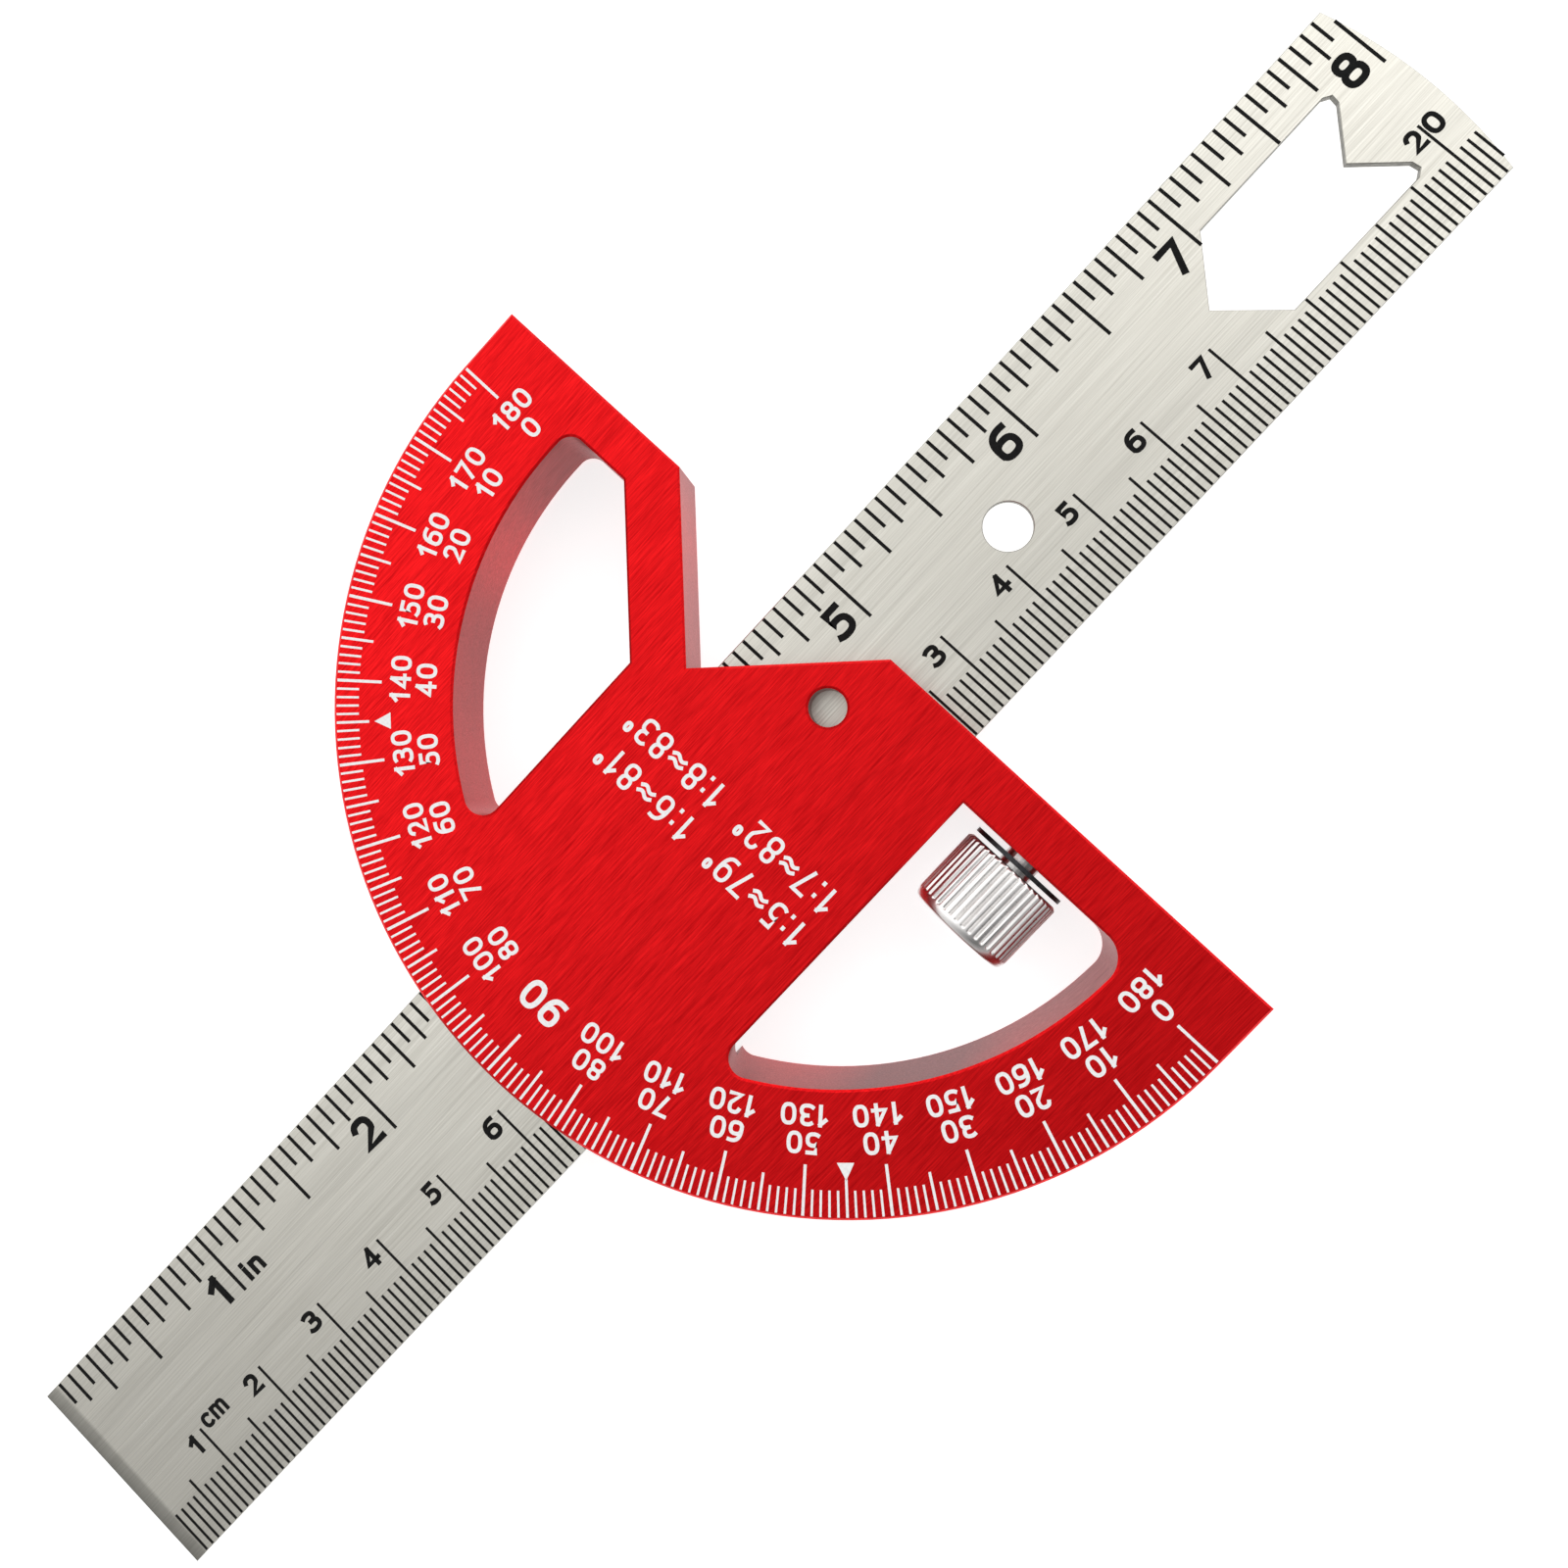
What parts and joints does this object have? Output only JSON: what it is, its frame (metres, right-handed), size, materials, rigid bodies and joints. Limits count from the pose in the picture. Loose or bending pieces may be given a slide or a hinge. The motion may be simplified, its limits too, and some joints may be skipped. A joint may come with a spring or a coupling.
{
  "type": "angle square",
  "caption": "Half-round protractor head with two windows and a notched straight edge, on a steel rule that slides through it and is held by a knurled thumbscrew.",
  "frame": {"origin": "under the middle of the rule's length on the head's centreline, in the plane of the head's back face", "axes": "+X along the rule towards its far, rounded end; +Y across, towards the rule's inch scale; +Z out of the head's front face"},
  "size_m": [0.205, 0.1052, 0.012],
  "materials": {
    "red_anodised_aluminium": "brushed, red anodised",
    "stainless_steel": "brushed lengthwise",
    "spring_steel": "bright rolled",
    "nickel_plate": "polished nickel plate",
    "black_oxide_steel": "satin black oxide",
    "brass": "turned"
  },
  "bodies": {
    "head": {"head_body": "red_anodised_aluminium", "back_cover": "red_anodised_aluminium", "cover_screw_1": "black_oxide_steel", "cover_screw_2": "black_oxide_steel", "cover_screw_3": "black_oxide_steel", "cover_screw_4": "black_oxide_steel", "cover_screw_5": "black_oxide_steel", "cover_screw_6": "black_oxide_steel", "dowel_pin_1": "stainless_steel", "dowel_pin_2": "stainless_steel", "leaf_spring_1": "spring_steel", "leaf_spring_2": "spring_steel", "bore_plug": "black_oxide_steel"},
    "rule": {"rule": "stainless_steel"},
    "washer": {"washer": "black_oxide_steel"},
    "thumbscrew": {"thumb_knob": "nickel_plate", "clamp_stud": "nickel_plate"},
    "clamp_pin": {"clamp_pin": "stainless_steel", "pressure_pad": "brass"}
  },
  "joints": [
    {"name": "rule_slide", "type": "slide", "parent": "head", "child": "rule", "axis": [1, 0, 0], "range_m": [-0.079, 0.094]},
    {"name": "screw_advance", "type": "slide", "parent": "head", "child": "washer", "axis": [1, 0, 0], "range_m": [-0.0014, 0.00035]},
    {"name": "screw_turn", "type": "hinge", "parent": "washer", "child": "thumbscrew", "pos_m": [0.0155, -0.02595, 0.006], "axis": [1, 0, 0], "range_deg": [-720, 180]},
    {"name": "clamp_pin_slide", "type": "slide", "parent": "head", "child": "clamp_pin", "axis": [0, 1, 0], "range_m": [-0.00082, 0.0002]}
  ],
  "couplings": [
    {"joint": "screw_advance", "follows": "screw_turn", "m_per_rad": 0.00011141},
    {"joint": "clamp_pin_slide", "follows": "screw_turn", "m_per_rad": 0.000064988}
  ]
}
